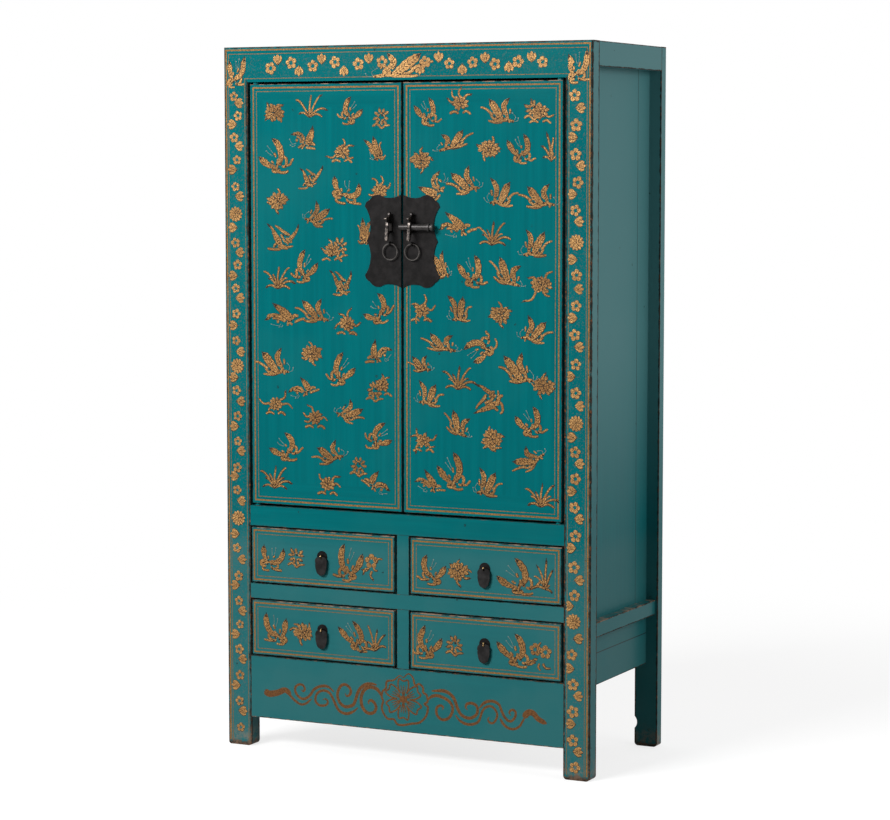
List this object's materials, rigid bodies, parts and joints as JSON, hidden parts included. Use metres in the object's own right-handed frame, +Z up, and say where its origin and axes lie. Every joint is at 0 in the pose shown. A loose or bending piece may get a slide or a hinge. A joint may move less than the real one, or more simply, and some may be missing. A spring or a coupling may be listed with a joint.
{
  "type": "painted cabinet",
  "caption": "Tall lacquered cabinet on four posts, with two plain doors that a sliding bolt locks, drawers below, a shelf inside, and iron plates, rings and drops.",
  "frame": {"origin": "on the floor, under the middle of the cabinet's box, which its lock's lugs reach the front of", "axes": "+X to the right seen from the front, +Y from the front to the back, +Z up"},
  "size_m": [1.05, 0.526, 1.85],
  "materials": {
    "lacquered_wood": "worn satin lacquer",
    "bare_wood": "bare, aged",
    "black_iron": "dark, waxed",
    "bolt_steel": "worn"
  },
  "bodies": {
    "cabinet": {"front_left_post": "lacquered_wood", "front_right_post": "lacquered_wood", "rear_left_post": "lacquered_wood", "rear_right_post": "lacquered_wood", "front_top_rail": "lacquered_wood", "rear_top_rail": "lacquered_wood", "left_top_rail": "lacquered_wood", "right_top_rail": "lacquered_wood", "top_boards": "lacquered_wood", "door_sill_rail": "lacquered_wood", "drawer_rail": "lacquered_wood", "drawer_dividers": "lacquered_wood", "front_apron": "lacquered_wood", "left_side_boards": "lacquered_wood", "right_side_boards": "lacquered_wood", "left_lower_rail": "lacquered_wood", "right_lower_rail": "lacquered_wood", "left_skirt": "lacquered_wood", "right_skirt": "lacquered_wood", "rear_bottom_rail": "bare_wood", "rear_middle_rail": "bare_wood", "back_boards": "bare_wood", "cupboard_floor": "bare_wood", "shelf": "bare_wood", "shelf_and_floor_bearers": "bare_wood", "bottom_boards": "bare_wood", "drawer_runners": "bare_wood"},
    "left_door": {"left_door_hinge_stile": "lacquered_wood", "left_door_lock_stile": "lacquered_wood", "left_door_rails": "lacquered_wood", "left_door_panel": "lacquered_wood", "left_door_battens": "bare_wood", "left_lock_plate": "black_iron", "left_lock_lug": "black_iron"},
    "right_door": {"right_door_hinge_stile": "lacquered_wood", "right_door_lock_stile": "lacquered_wood", "right_door_rails": "lacquered_wood", "right_door_panel": "lacquered_wood", "right_door_battens": "bare_wood", "right_lock_plate": "black_iron", "right_lock_lug": "black_iron"},
    "left_ring": {"left_pull_ring": "black_iron"},
    "right_ring": {"right_pull_ring": "black_iron"},
    "bolt": {"lock_bolt": "bolt_steel"},
    "lower_left_drawer": {"lower_left_drawer_front": "lacquered_wood", "lower_left_drawer_box": "bare_wood", "lower_left_drawer_pull_plate": "black_iron"},
    "lower_left_drawer_drop": {"lower_left_drawer_pull_drop": "black_iron"},
    "lower_right_drawer": {"lower_right_drawer_front": "lacquered_wood", "lower_right_drawer_box": "bare_wood", "lower_right_drawer_pull_plate": "black_iron"},
    "lower_right_drawer_drop": {"lower_right_drawer_pull_drop": "black_iron"},
    "upper_left_drawer": {"upper_left_drawer_front": "lacquered_wood", "upper_left_drawer_box": "bare_wood", "upper_left_drawer_pull_plate": "black_iron"},
    "upper_left_drawer_drop": {"upper_left_drawer_pull_drop": "black_iron"},
    "upper_right_drawer": {"upper_right_drawer_front": "lacquered_wood", "upper_right_drawer_box": "bare_wood", "upper_right_drawer_pull_plate": "black_iron"},
    "upper_right_drawer_drop": {"upper_right_drawer_pull_drop": "black_iron"}
  },
  "joints": [
    {"name": "left_door_swing", "type": "hinge", "parent": "cabinet", "child": "left_door", "pos_m": [-0.434, -0.215, 1.2], "axis": [0, 0, -1], "range_deg": [0, 105]},
    {"name": "right_door_swing", "type": "hinge", "parent": "cabinet", "child": "right_door", "pos_m": [0.434, -0.215, 1.2], "axis": [0, 0, 1], "range_deg": [0, 105]},
    {"name": "left_ring_swing", "type": "hinge", "parent": "left_door", "child": "left_ring", "pos_m": [-0.0315, -0.2358, 1.3436], "axis": [-1, 0, 0], "range_deg": [-5, 90]},
    {"name": "right_ring_swing", "type": "hinge", "parent": "right_door", "child": "right_ring", "pos_m": [0.0315, -0.2358, 1.3436], "axis": [-1, 0, 0], "range_deg": [-5, 90]},
    {"name": "bolt_slide", "type": "slide", "parent": "right_door", "child": "bolt", "axis": [1, 0, 0], "range_m": [-0.041, 0.02]},
    {"name": "lower_left_drawer_slide", "type": "slide", "parent": "cabinet", "child": "lower_left_drawer", "axis": [0, -1, 0], "range_m": [0, 0.3]},
    {"name": "lower_left_drawer_drop_swing", "type": "hinge", "parent": "lower_left_drawer", "child": "lower_left_drawer_drop", "pos_m": [-0.23525, -0.2372, 0.329], "axis": [-1, 0, 0], "range_deg": [-5, 80]},
    {"name": "lower_right_drawer_slide", "type": "slide", "parent": "cabinet", "child": "lower_right_drawer", "axis": [0, -1, 0], "range_m": [0, 0.3]},
    {"name": "lower_right_drawer_drop_swing", "type": "hinge", "parent": "lower_right_drawer", "child": "lower_right_drawer_drop", "pos_m": [0.23525, -0.2372, 0.329], "axis": [-1, 0, 0], "range_deg": [-5, 80]},
    {"name": "upper_left_drawer_slide", "type": "slide", "parent": "cabinet", "child": "upper_left_drawer", "axis": [0, -1, 0], "range_m": [0, 0.3]},
    {"name": "upper_left_drawer_drop_swing", "type": "hinge", "parent": "upper_left_drawer", "child": "upper_left_drawer_drop", "pos_m": [-0.23525, -0.2372, 0.523], "axis": [-1, 0, 0], "range_deg": [-5, 80]},
    {"name": "upper_right_drawer_slide", "type": "slide", "parent": "cabinet", "child": "upper_right_drawer", "axis": [0, -1, 0], "range_m": [0, 0.3]},
    {"name": "upper_right_drawer_drop_swing", "type": "hinge", "parent": "upper_right_drawer", "child": "upper_right_drawer_drop", "pos_m": [0.23525, -0.2372, 0.523], "axis": [-1, 0, 0], "range_deg": [-5, 80]}
  ]
}
